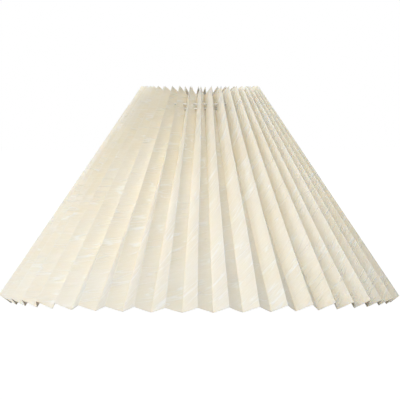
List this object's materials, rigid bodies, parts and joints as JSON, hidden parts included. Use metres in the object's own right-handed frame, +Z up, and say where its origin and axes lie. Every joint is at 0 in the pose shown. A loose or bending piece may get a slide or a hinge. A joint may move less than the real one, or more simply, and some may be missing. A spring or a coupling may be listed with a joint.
{
  "type": "pleated lamp shade",
  "caption": "Cone-shaped lamp shade of hand-gathered accordion pleats, held by a drawstring on a steel wire carrier with a lampholder ring.",
  "frame": {"origin": "centre of the lampholder hole, on the underside of the socket ring", "axes": "+Z up along the shade's axis, -Y the front, +X to the right seen from the front"},
  "size_m": [0.42, 0.4197, 0.2273],
  "materials": {
    "pleat_fabric": "cream crinkled fabric laminated on a stiff backing, soft satin",
    "seam_tape": "clear double-sided tape",
    "drawstring": "white twisted cord",
    "carrier": "dull zinc-plated steel"
  },
  "bodies": {
    "root": {"front_pleats": "pleat_fabric", "rear_pleats": "pleat_fabric", "seam_tape_right": "seam_tape", "seam_tape_left": "seam_tape", "drawstring": "drawstring", "upper_hoop": "carrier", "lower_hoop": "carrier", "arm_1": "carrier", "arm_2": "carrier", "arm_3": "carrier", "arm_4": "carrier", "stay_1": "carrier", "stay_2": "carrier", "stay_3": "carrier", "stay_4": "carrier", "socket_ring": "carrier"}
  },
  "joints": []
}
